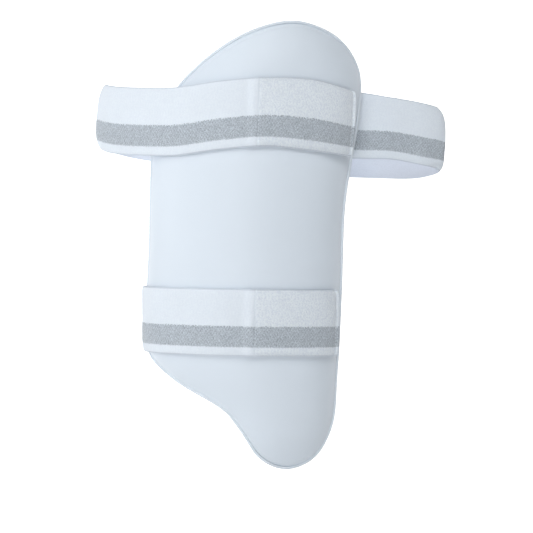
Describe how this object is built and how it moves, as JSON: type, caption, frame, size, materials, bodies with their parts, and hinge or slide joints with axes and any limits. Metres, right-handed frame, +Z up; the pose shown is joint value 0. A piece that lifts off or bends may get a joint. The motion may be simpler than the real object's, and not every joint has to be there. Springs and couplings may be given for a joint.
{
  "type": "cricket thigh guard",
  "caption": "Curved foam pad that shields a batter's front thigh and hip, held on by a wide terry elastic strap round the waist and another round the thigh.",
  "frame": {"origin": "middle of the pad's inner face, at half its height, where it sits on the front of the thigh", "axes": "+Z up along the leg towards the hip, +Y from the pad's face into the leg, +X to the right as seen by someone who faces the pad"},
  "size_m": [0.3454, 0.1892, 0.43],
  "materials": {
    "cover": "smooth coated stretch cloth, white, soft sheen",
    "piping": "white cloth over a round cord",
    "terry": "looped terry elastic, white with a grey woven stripe",
    "hook": "grey hook tape"
  },
  "bodies": {
    "root": {"thigh_pad": "cover", "edge_piping": "piping", "waist_strap": "terry", "thigh_strap": "terry", "waist_hook_patch": "hook", "thigh_hook_patch": "hook"}
  },
  "joints": []
}
